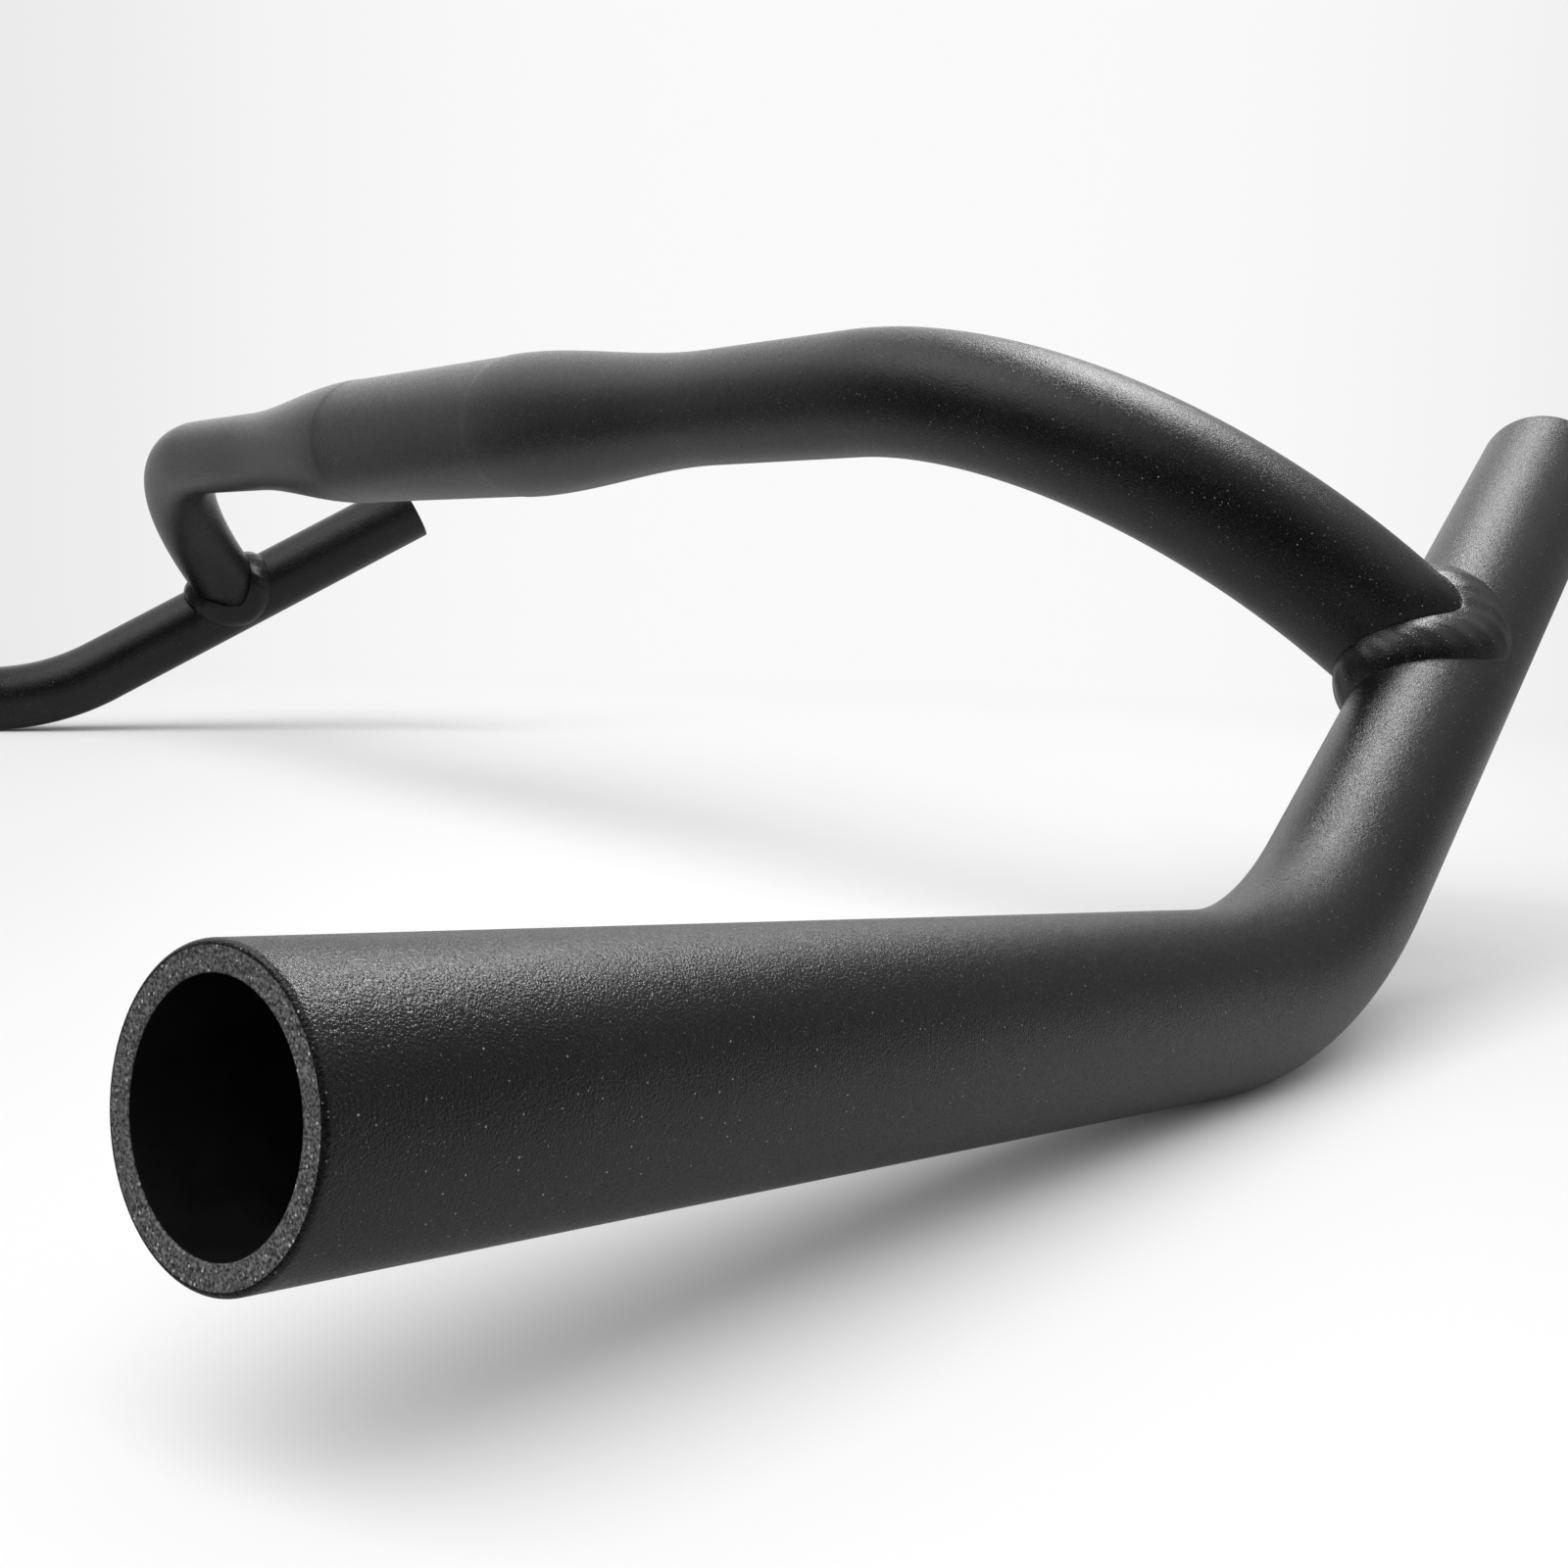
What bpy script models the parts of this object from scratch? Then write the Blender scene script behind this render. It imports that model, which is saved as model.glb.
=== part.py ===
"""Touring handlebar in metres: a bulged crossbar welded between two bent side tubes.

The origin is the middle of the stem clamp zone. +X runs along the crossbar to the
rider's right, +Y points forward and +Z points up. Each side tube is one bent tube,
with an open grip end at the back and an open horn end at the front.
"""
import math

import bmesh
import bpy
from mathutils import Vector

# Tube stock
TUBE_DIAMETER = 0.0222
TUBE_WALL = 0.0022
RIM_ROUNDING = 0.0005

# Crossbar, from its middle to the right junction
CLAMP_DIAMETER = 0.0318
CLAMP_LENGTH = 0.085
TAPER_LENGTH = 0.073
CROSSBAR_STRAIGHT = 0.1605
CROSSBAR_BEND_RADIUS = 0.095
CROSSBAR_BEND_ANGLE = math.radians(62.0)
LEG_DROP_ANGLE = math.radians(44.7)
LEG_STRAIGHT = 0.0154

# Side tube, from the junction forward to the horn and back to the grip
HORN_REACH = 0.071
HORN_TOE_IN = math.radians(20.5)
HORN_RISE = math.radians(29.5)
JUNCTION_TO_BEND = 0.054
SIDE_BEND_RADIUS = 0.077
GRIP_STRAIGHT = 0.137
GRIP_SWEEP = math.radians(15.0)
GRIP_RISE = math.radians(6.0)

# Weld beads round the two junctions
WELD_REACH = 0.0038
WELD_CROTCH_BULGE = 0.0013
WELD_FLANK_HEIGHT = 0.0016
WELD_CORNER_SOFTNESS = 0.25
WELD_RIPPLE_HEIGHT = 0.00025
WELD_RIPPLE_COUNT = 26
FIT_GAP = 0.0003

# Fineness of the surfaces
TUBE_SIDES = 32
TAPER_STEPS = 8
CROSSBAR_BEND_STEPS = 12
SIDE_BEND_STEPS = 8
WELD_ARC_STEPS = 6
POINTS_PER_RIPPLE = 4
BORE_OVERSHOOT = 0.004
RIM_ANGLE_LIMIT = math.radians(60.0)
SMOOTH_ANGLE = math.radians(35.0)

SIDES = {"right": 1, "left": -1}


def clear_scene():
    """Remove every object that the file opened with."""
    for thing in list(bpy.data.objects):
        bpy.data.objects.remove(thing, do_unlink=True)


def make_collection(name):
    """Make a collection under the scene."""
    group = bpy.data.collections.new(name)
    bpy.context.scene.collection.children.link(group)
    return group


def powder_coat(name, colour, roughness):
    """Make the matte black coat of one piece."""
    material = bpy.data.materials.new(name)
    material.use_nodes = True
    shader = material.node_tree.nodes["Principled BSDF"]
    shader.inputs["Base Color"].default_value = (*colour, 1.0)
    shader.inputs["Roughness"].default_value = roughness
    shader.inputs["Metallic"].default_value = 0.0
    return material


def mirrored(vector, side):
    """Put a right-hand vector on the given side, 1 for right and -1 for left."""
    return Vector((side * vector.x, vector.y, vector.z))


def bend(start, heading, toward, radius, angle, steps):
    """Points of a bend that starts along heading and turns towards a unit vector square to it."""
    centre = start + radius * toward
    angles = [angle * step / steps for step in range(steps + 1)]
    return [centre + radius * (math.sin(a) * heading - math.cos(a) * toward) for a in angles]


def leg_turn():
    """Direction that the crossbar's legs are bent towards: forward and down."""
    return Vector((0.0, math.cos(LEG_DROP_ANGLE), -math.sin(LEG_DROP_ANGLE)))


def leg_direction():
    """Direction of the right leg, from its bend to the junction."""
    along = Vector((1.0, 0.0, 0.0))
    return math.cos(CROSSBAR_BEND_ANGLE) * along + math.sin(CROSSBAR_BEND_ANGLE) * leg_turn()


def horn_direction():
    """Direction of the right horn, from the junction forward."""
    level = math.cos(HORN_RISE)
    return Vector((-level * math.sin(HORN_TOE_IN), level * math.cos(HORN_TOE_IN), math.sin(HORN_RISE)))


def grip_direction():
    """Direction of the right grip, from its bend back to the open end."""
    level = math.cos(GRIP_RISE)
    return Vector((level * math.sin(GRIP_SWEEP), -level * math.cos(GRIP_SWEEP), math.sin(GRIP_RISE)))


def crossbar_half():
    """Centreline points of the crossbar's right half, each with its outer radius."""
    tube_radius = TUBE_DIAMETER / 2
    clamp_radius = CLAMP_DIAMETER / 2
    path = []
    for step in range(TAPER_STEPS + 1):
        share = step / TAPER_STEPS
        blend = share * share * (3 - 2 * share)
        place = Vector((CLAMP_LENGTH / 2 + share * TAPER_LENGTH, 0.0, 0.0))
        path.append((place, clamp_radius + blend * (tube_radius - clamp_radius)))
    bend_start = Vector((CROSSBAR_STRAIGHT, 0.0, 0.0))
    for place in bend(bend_start, Vector((1.0, 0.0, 0.0)), leg_turn(), CROSSBAR_BEND_RADIUS,
                      CROSSBAR_BEND_ANGLE, CROSSBAR_BEND_STEPS):
        path.append((place, tube_radius))
    path.append((path[-1][0] + LEG_STRAIGHT * leg_direction(), tube_radius))
    return path


def junction():
    """Point where the right leg's centreline meets the right side tube's."""
    return crossbar_half()[-1][0]


def crossbar_path():
    """The whole crossbar from the left junction to the right one."""
    right = crossbar_half()
    left = [(mirrored(place, -1), radius) for place, radius in reversed(right)]
    return left + right


def side_tube_path(side):
    """Centreline of one side tube from the open horn end to the open grip end."""
    horn, grip = horn_direction(), grip_direction()
    bend_start = junction() - JUNCTION_TO_BEND * horn
    angle = math.acos(-horn.dot(grip))
    toward = (grip + horn * math.cos(angle)).normalized()
    curve = bend(bend_start, -horn, toward, SIDE_BEND_RADIUS, angle, SIDE_BEND_STEPS)
    points = [junction() + HORN_REACH * horn, *curve, curve[-1] + GRIP_STRAIGHT * grip]
    return [(mirrored(place, side), TUBE_DIAMETER / 2) for place in points]


def lengthened(path, overshoot):
    """The same path with both ends carried straight on."""
    (first, first_radius), (second, _) = path[0], path[1]
    (last, last_radius), (before, _) = path[-1], path[-2]
    start = first + overshoot * (first - second).normalized()
    end = last + overshoot * (last - before).normalized()
    return [(start, first_radius), *path[1:-1], (end, last_radius)]


def offset(path, change):
    """The same path with every radius changed by the same amount."""
    return [(place, radius + change) for place, radius in path]


def swept_solid(name, path, sides, group):
    """Sweep a round section along a path of points and radii, and return it as a welded mesh."""
    curve = bpy.data.curves.new(name, "CURVE")
    curve.dimensions = "3D"
    curve.bevel_depth = max(radius for _, radius in path)
    curve.bevel_resolution = sides // 2 - 2
    curve.use_fill_caps = True
    spline = curve.splines.new("POLY")
    spline.points.add(len(path) - 1)
    for point, (place, radius) in zip(spline.points, path):
        point.co = (*place, 1.0)
        point.radius = radius / curve.bevel_depth
    line = bpy.data.objects.new(name, curve)
    group.objects.link(line)
    bpy.context.view_layer.update()
    mesh = bpy.data.meshes.new_from_object(line.evaluated_get(bpy.context.evaluated_depsgraph_get()))
    bpy.data.objects.remove(line, do_unlink=True)
    weld_caps(mesh)
    mesh.name = name
    solid = bpy.data.objects.new(name, mesh)
    group.objects.link(solid)
    return solid


def weld_caps(mesh):
    """Join a swept mesh's loose caps to its wall."""
    work = bmesh.new()
    work.from_mesh(mesh)
    bmesh.ops.remove_doubles(work, verts=work.verts, dist=1e-6)
    bmesh.ops.recalc_face_normals(work, faces=work.faces)
    work.to_mesh(mesh)
    work.free()


def make_cutter(name, path, sides, group):
    """Sweep a solid that is only used to cut others."""
    cutter = swept_solid(name, path, sides, group)
    cutter.hide_render = True
    cutter.display_type = "WIRE"
    return cutter


def cut(piece, cutter):
    """Take a cutter's volume out of a piece."""
    modifier = piece.modifiers.new(cutter.name, "BOOLEAN")
    modifier.operation = "DIFFERENCE"
    modifier.solver = "EXACT"
    modifier.object = cutter


def round_rims(piece):
    """Round the edges of a tube's open ends."""
    modifier = piece.modifiers.new("rims", "BEVEL")
    modifier.limit_method = "ANGLE"
    modifier.angle_limit = RIM_ANGLE_LIMIT
    modifier.width = RIM_ROUNDING
    modifier.segments = 2


def finish(piece, material):
    """Shade a piece smooth between its sharp edges and dress it."""
    piece.data.shade_smooth()
    piece.data.set_sharp_from_angle(angle=SMOOTH_ANGLE)
    piece.data.materials.append(material)


def side_tube_surface(along, roll, radius):
    """Point round the right side tube near the junction, with its outward direction.

    Roll is measured from the side that faces the leg towards the flank.
    """
    leg, horn = -leg_direction(), horn_direction()
    flank = horn.cross(leg).normalized()
    outward = math.sin(roll) * flank + math.cos(roll) * flank.cross(horn)
    return junction() + along * horn + radius * outward, outward


def weld_section(turn, swell):
    """Corners of the right bead's section at one angle round the leg, with its swell.

    Both tubes have the same radius, so their seam has a corner on each flank. The section runs
    from the toe on the leg over the bead's back to the toe on the side tube, then under the bead
    along the side tube to the seam. Both toes turn the seam's corners softly.
    """
    radius = TUBE_DIAMETER / 2 + FIT_GAP
    leg, horn = -leg_direction(), horn_direction()
    flank = horn.cross(leg).normalized()
    slant, span = leg.dot(horn), leg.cross(horn).length
    across, out = math.cos(turn), math.sin(turn)
    leg_outward = across * flank + out * leg.cross(flank)
    leg_side = junction() + radius * leg_outward
    climb = math.hypot(out, WELD_CORNER_SOFTNESS * across)
    seam = leg_side + radius * (abs(out) + slant * out) / span * leg
    leg_toe = leg_side + (radius * (climb + slant * out) / span + WELD_REACH) * leg
    seam_along, seam_roll = (seam - junction()).dot(horn), math.asin(across)
    toe_along = seam_along + WELD_REACH * out
    toe_roll = (math.asin(math.sqrt(1 - WELD_CORNER_SOFTNESS ** 2) * across)
                + math.sqrt(2) * WELD_REACH / radius * across)
    side_toe, side_outward = side_tube_surface(toe_along, toe_roll, radius)
    under, _ = side_tube_surface((seam_along + toe_along) / 2, (seam_roll + toe_roll) / 2, radius)
    height = WELD_CROTCH_BULGE * out ** 2 + WELD_FLANK_HEIGHT * across ** 2 + swell
    lift = height * (leg_outward + side_outward).normalized()
    shares = [step / WELD_ARC_STEPS for step in range(WELD_ARC_STEPS + 1)]
    back = [leg_toe.lerp(side_toe, share) + 4 * share * (1 - share) * lift for share in shares]
    return [*back, under, seam]


def weld_sections(side):
    """The sections round one whole bead, whose back rises and falls in ripples."""
    count = WELD_RIPPLE_COUNT * POINTS_PER_RIPPLE
    sections = []
    for step in range(count):
        swell = WELD_RIPPLE_HEIGHT * math.cos(2 * math.pi * step / POINTS_PER_RIPPLE)
        section = weld_section(2 * math.pi * step / count, swell)
        sections.append([mirrored(corner, side) for corner in section])
    return sections


def lofted_ring(name, sections, group):
    """Join closed sections one after another, and the last to the first, into one solid."""
    work = bmesh.new()
    rings = [[work.verts.new(corner) for corner in section] for section in sections]
    for ring, following in zip(rings, rings[1:] + rings[:1]):
        for index in range(len(ring)):
            work.faces.new((ring[index - 1], ring[index], following[index], following[index - 1]))
    bmesh.ops.recalc_face_normals(work, faces=work.faces)
    mesh = bpy.data.meshes.new(name)
    work.to_mesh(mesh)
    work.free()
    solid = bpy.data.objects.new(name, mesh)
    group.objects.link(solid)
    return solid


def build_crossbar(group, cutters, side_cutters):
    """Build the hollow crossbar with its clamp bulge, two legs and coped ends."""
    crossbar = swept_solid("crossbar", crossbar_path(), TUBE_SIDES, group)
    bore = make_cutter("crossbar_bore", offset(lengthened(crossbar_path(), BORE_OVERSHOOT), -TUBE_WALL),
                       TUBE_SIDES, cutters)
    cut(crossbar, bore)
    for cutter in side_cutters.values():
        cut(crossbar, cutter)
    finish(crossbar, powder_coat("crossbar_coat", (0.018, 0.018, 0.019), 0.52))


def build_side_tube(name, side, group, cutters):
    """Build one bent side tube with rounded open ends."""
    path = side_tube_path(side)
    tube = swept_solid(name + "_side_tube", path, TUBE_SIDES, group)
    bore = make_cutter(name + "_bore", offset(lengthened(path, BORE_OVERSHOOT), -TUBE_WALL),
                       TUBE_SIDES, cutters)
    cut(tube, bore)
    round_rims(tube)
    finish(tube, powder_coat(name + "_side_tube_coat", (0.020, 0.020, 0.021), 0.50))


def build_weld(name, side, group):
    """Build one weld bead, lofted against the two tubes that it joins."""
    bead = lofted_ring(name + "_weld", weld_sections(side), group)
    finish(bead, powder_coat(name + "_weld_coat", (0.022, 0.022, 0.023), 0.48))


def main():
    """Build the whole handlebar."""
    clear_scene()
    group = make_collection("touring_handlebar")
    cutters = make_collection("cutters")
    side_cutters = {
        name: make_cutter(name + "_clearance", offset(side_tube_path(side), FIT_GAP), TUBE_SIDES, cutters)
        for name, side in SIDES.items()
    }
    build_crossbar(group, cutters, side_cutters)
    for name, side in SIDES.items():
        build_side_tube(name, side, group, cutters)
        build_weld(name, side, group)


main()
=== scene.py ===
"""Touring bike handlebar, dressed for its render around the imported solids.

Lengths are metres. Angles are radians on the bar and degrees in the studio. The origin is the
middle of the stem clamp zone, +X runs along the crossbar to the rider's right, +Y points forward
and +Z points up. Shapes are worked out on the rider's right and mirrored for the left.
"""

import logging
import math
from dataclasses import dataclass
from enum import Enum

import bmesh
import bpy
from mathutils import Matrix, Vector


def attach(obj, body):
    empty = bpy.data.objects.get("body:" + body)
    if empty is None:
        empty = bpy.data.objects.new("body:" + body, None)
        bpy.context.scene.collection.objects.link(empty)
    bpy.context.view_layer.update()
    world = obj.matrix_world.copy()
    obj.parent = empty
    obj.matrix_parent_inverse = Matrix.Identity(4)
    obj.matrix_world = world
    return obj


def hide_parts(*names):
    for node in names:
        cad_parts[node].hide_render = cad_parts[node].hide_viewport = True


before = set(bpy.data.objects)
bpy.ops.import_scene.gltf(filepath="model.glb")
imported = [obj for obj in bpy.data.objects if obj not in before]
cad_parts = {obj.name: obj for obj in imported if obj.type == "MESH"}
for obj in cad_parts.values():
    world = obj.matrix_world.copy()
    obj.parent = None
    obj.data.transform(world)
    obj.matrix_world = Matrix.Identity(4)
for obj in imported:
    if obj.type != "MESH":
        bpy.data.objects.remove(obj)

LOG = logging.getLogger("handlebar")
ROOT_BODY = "root"
MERGE_DISTANCE = 1e-6
ALONG_THE_BAR = Vector((1.0, 0.0, 0.0))
WHITE = (1.0, 1.0, 1.0, 1.0)
COAT_IOR = 1.5

# The span that most of a noise's values fall in, and how many finer layers a noise carries
NOISE_LOW, NOISE_HIGH = 0.3, 0.7
NOISE_ROUGHNESS = 0.55
PLAIN_DETAIL, FINE_DETAIL, RICH_DETAIL = 1.0, 2.0, 3.0

# Numbers of a Mix node's sockets for plain numbers, because their names repeat
MIX_SHARE, MIX_FIRST, MIX_SECOND = 0, 2, 3


class Side(Enum):
    """The two sides of the bar, named from the rider's seat."""

    RIGHT = 1
    LEFT = -1

    @property
    def label(self) -> str:
        """Word that the side's nodes start with."""
        return self.name.lower()

    def mirrored(self, point: Vector) -> Vector:
        """Put a right-hand point or direction on this side."""
        return Vector((self.value * point.x, point.y, point.z))


class Skin(Enum):
    """Material slots of a tube, by what part of its wall they cover."""

    WALL = 0
    RIM = 1
    BORE = 2


class NodeGraph:
    """Short hand for building one material's or world's nodes."""

    def __init__(self, tree: bpy.types.NodeTree) -> None:
        """Start with an empty tree.

        Args:
            tree: The node tree to fill.
        """
        self.tree = tree
        self.tree.nodes.clear()

    def add(self, kind: str, values: dict | None = None, **settings: object) -> bpy.types.Node:
        """Add one node.

        Args:
            kind: The node's type name.
            values: Values of its input sockets, by socket name or number.
            settings: Values of its properties.

        Returns:
            The new node.
        """
        node = self.tree.nodes.new(kind)
        for name, setting in settings.items():
            setattr(node, name, setting)
        for socket, value in (values or {}).items():
            node.inputs[socket].default_value = value
        return node

    def link(self, source: bpy.types.NodeSocket, target: bpy.types.NodeSocket) -> None:
        """Join an output socket to an input socket."""
        self.tree.links.new(source, target)

    def remap(self, source: bpy.types.NodeSocket, low: float, high: float,
              to_low: float, to_high: float, smooth: bool = False) -> bpy.types.NodeSocket:
        """Map a value's range onto another one.

        Args:
            source: The socket that gives the value.
            low: Value that becomes to_low.
            high: Value that becomes to_high.
            to_low: Result at the low end.
            to_high: Result at the high end.
            smooth: Whether the change eases in and out.

        Returns:
            The socket with the result.
        """
        node = self.add("ShaderNodeMapRange", {"From Min": low, "From Max": high,
                                               "To Min": to_low, "To Max": to_high})
        node.interpolation_type = "SMOOTHSTEP" if smooth else "LINEAR"
        self.link(source, node.inputs["Value"])
        return node.outputs["Result"]

    def calculate(self, operation: str, first: bpy.types.NodeSocket,
                  second: bpy.types.NodeSocket | float) -> bpy.types.NodeSocket:
        """Add one sum.

        Args:
            operation: Name of the operation.
            first: Socket with the first number.
            second: Socket with the second number, or the number itself.

        Returns:
            The socket with the result.
        """
        node = self.add("ShaderNodeMath", operation=operation)
        self.link(first, node.inputs[0])
        if isinstance(second, float):
            node.inputs[1].default_value = second
        else:
            self.link(second, node.inputs[1])
        return node.outputs[0]

    def choose(self, share: bpy.types.NodeSocket, first: bpy.types.NodeSocket,
               second: float) -> bpy.types.NodeSocket:
        """Blend from a socket's number to a fixed one.

        Args:
            share: Socket with 0 for the socket's number and 1 for the fixed one.
            first: Socket with the number at 0.
            second: The number at 1.

        Returns:
            The socket with the result.
        """
        node = self.add("ShaderNodeMix", {MIX_SECOND: second}, data_type="FLOAT")
        self.link(share, node.inputs[MIX_SHARE])
        self.link(first, node.inputs[MIX_FIRST])
        return node.outputs[0]

    def noise(self, place: bpy.types.NodeSocket, size: float, detail: float) -> bpy.types.NodeSocket:
        """Add a noise.

        Args:
            place: Socket with the place on the piece.
            size: Size of its lumps in metres.
            detail: How many finer layers it has.

        Returns:
            The socket with the noise.
        """
        noise = self.add("ShaderNodeTexNoise", {"Scale": 1.0 / size, "Detail": detail,
                                                "Roughness": NOISE_ROUGHNESS})
        self.link(place, noise.inputs["Vector"])
        return noise.outputs["Fac"]

    def finish_surface(self, shader: bpy.types.NodeSocket) -> None:
        """Give the material its surface."""
        output = self.add("ShaderNodeOutputMaterial")
        self.link(shader, output.inputs["Surface"])


@dataclass(frozen=True)
class PaintedGlints:
    """Painted glints: pale dots strewn on a coat, at most one for each spacing and only in a share of the
    places.
    """

    spacing: float
    radius: float
    tone: float
    share: float = 1.0
    full_part: float = 0.4

    def strew(self, graph: NodeGraph, place: bpy.types.NodeSocket,
              tone: bpy.types.NodeSocket) -> bpy.types.NodeSocket:
        """Strew the painted glints on a tone.

        Args:
            graph: The tree that gets the nodes.
            place: Socket with the place on the piece.
            tone: Socket with the tone between the glints.

        Returns:
            The socket with both.
        """
        cells = graph.add("ShaderNodeTexVoronoi", {"Scale": 1.0 / self.spacing})
        graph.link(place, cells.inputs["Vector"])
        edge = self.radius / self.spacing
        inside = graph.remap(cells.outputs["Distance"], self.full_part * edge, edge, 1.0, 0.0)
        draw = graph.add("ShaderNodeSeparateColor")
        graph.link(cells.outputs["Color"], draw.inputs[0])
        filled = graph.calculate("LESS_THAN", draw.outputs[0], self.share)
        return graph.choose(graph.calculate("MULTIPLY", inside, filled), tone, self.tone)


@dataclass(frozen=True)
class PowderCoat:
    """Matte black powder coat: a sandy grain on a faint orange peel, with a few pale dots painted as
    glints.
    """

    name: str

    # Tone, which drifts in wide clouds and changes from grain to grain
    dark: float = 0.0012
    light: float = 0.0030
    cloud_size: float = 0.02
    cloud_low: float = 0.35
    cloud_high: float = 0.65
    grain_contrast: float = 0.9

    # Gloss, which changes from grain to grain too
    roughness: float = 0.20
    roughness_spread: float = 0.22

    # Relief, from the finest to the widest
    grain_size: float = 0.00022
    grain_height: float = 0.000105
    lump_size: float = 0.00060
    lump_height: float = 0.000020
    peel_size: float = 0.0022
    peel_height: float = 0.000040

    # Pale dots, painted glints that stand in for the sparkle of the grain
    painted_glints: tuple[PaintedGlints, ...] = (
        PaintedGlints(spacing=0.0011, radius=0.00010, tone=0.24),
        PaintedGlints(spacing=0.00040, radius=0.00007, tone=0.09, share=0.5),
    )

    def material(self) -> bpy.types.Material:
        """Make the finish.

        Returns:
            A new node material.
        """
        coat = bpy.data.materials.new(self.name)
        coat.use_nodes = True
        graph = NodeGraph(coat.node_tree)
        place = graph.add("ShaderNodeTexCoord").outputs["Object"]
        grain = graph.noise(place, self.grain_size, FINE_DETAIL)
        shader = graph.add("ShaderNodeBsdfPrincipled", {"Metallic": 0.0, "IOR": COAT_IOR})
        sanding = graph.remap(grain, NOISE_LOW, NOISE_HIGH,
                              1.0 - self.grain_contrast, 1.0 + self.grain_contrast)
        graph.link(graph.calculate("MULTIPLY", self._tone(graph, place), sanding),
                   shader.inputs["Base Color"])
        rough = graph.remap(grain, NOISE_LOW, NOISE_HIGH, self.roughness - self.roughness_spread / 2,
                            self.roughness + self.roughness_spread / 2)
        graph.link(rough, shader.inputs["Roughness"])
        normal = None
        for height, depth in ((graph.noise(place, self.peel_size, PLAIN_DETAIL), self.peel_height),
                              (graph.noise(place, self.lump_size, PLAIN_DETAIL), self.lump_height),
                              (grain, self.grain_height)):
            bump = graph.add("ShaderNodeBump", {"Strength": 1.0, "Distance": depth})
            graph.link(height, bump.inputs["Height"])
            if normal is not None:
                graph.link(normal, bump.inputs["Normal"])
            normal = bump.outputs["Normal"]
        graph.link(normal, shader.inputs["Normal"])
        graph.finish_surface(shader.outputs["BSDF"])
        return coat

    def _tone(self, graph: NodeGraph, place: bpy.types.NodeSocket) -> bpy.types.NodeSocket:
        """Cloud the black a little and strew the pale dots of painted glints on it.

        Args:
            graph: The tree that gets the nodes.
            place: Socket with the place on the piece.

        Returns:
            The socket with the tone.
        """
        tone = graph.remap(graph.noise(place, self.cloud_size, FINE_DETAIL),
                           self.cloud_low, self.cloud_high, self.dark, self.light)
        for painted_glints in self.painted_glints:
            tone = painted_glints.strew(graph, place, tone)
        return tone


@dataclass(frozen=True)
class BoreFinish:
    """Dark, dusty overspray inside an open tube."""

    name: str
    dark: float = 0.0020
    light: float = 0.0040
    roughness: float = 0.85
    specular_level: float = 0.1
    patch_size: float = 0.004

    def material(self) -> bpy.types.Material:
        """Make the finish.

        Returns:
            A new node material.
        """
        lining = bpy.data.materials.new(self.name)
        lining.use_nodes = True
        graph = NodeGraph(lining.node_tree)
        place = graph.add("ShaderNodeTexCoord").outputs["Object"]
        noise = graph.noise(place, self.patch_size, RICH_DETAIL)
        shader = graph.add("ShaderNodeBsdfPrincipled",
                           {"Roughness": self.roughness, "Metallic": 0.0, "IOR": COAT_IOR,
                            "Specular IOR Level": self.specular_level})
        graph.link(graph.remap(noise, NOISE_LOW, NOISE_HIGH, self.dark, self.light),
                   shader.inputs["Base Color"])
        graph.finish_surface(shader.outputs["BSDF"])
        return lining


@dataclass(frozen=True)
class Finishes:
    """The materials that all pieces share."""

    wall: bpy.types.Material
    rim: bpy.types.Material
    bore: bpy.types.Material
    weld: bpy.types.Material

    @classmethod
    def make(cls) -> "Finishes":
        """Make the four finishes once.

        Returns:
            All of them.
        """
        return cls(
            wall=PowderCoat("tube_powder_coat").material(),
            # The rim's coat is the black made paler and strewn with bigger, paler dots: painted light and
            # painted glints that the end face catches.
            rim=PowderCoat("rim_coat_with_painted_glints", dark=0.014, light=0.095, cloud_size=0.00024,
                           grain_contrast=0.5, roughness=0.38, roughness_spread=0.15,
                           grain_height=0.000130,
                           painted_glints=(PaintedGlints(spacing=0.0006, radius=0.00012, tone=0.30),)).material(),
            bore=BoreFinish("bore_overspray").material(),
            weld=PowderCoat("weld_powder_coat", grain_height=0.000060).material(),
        )


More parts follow.
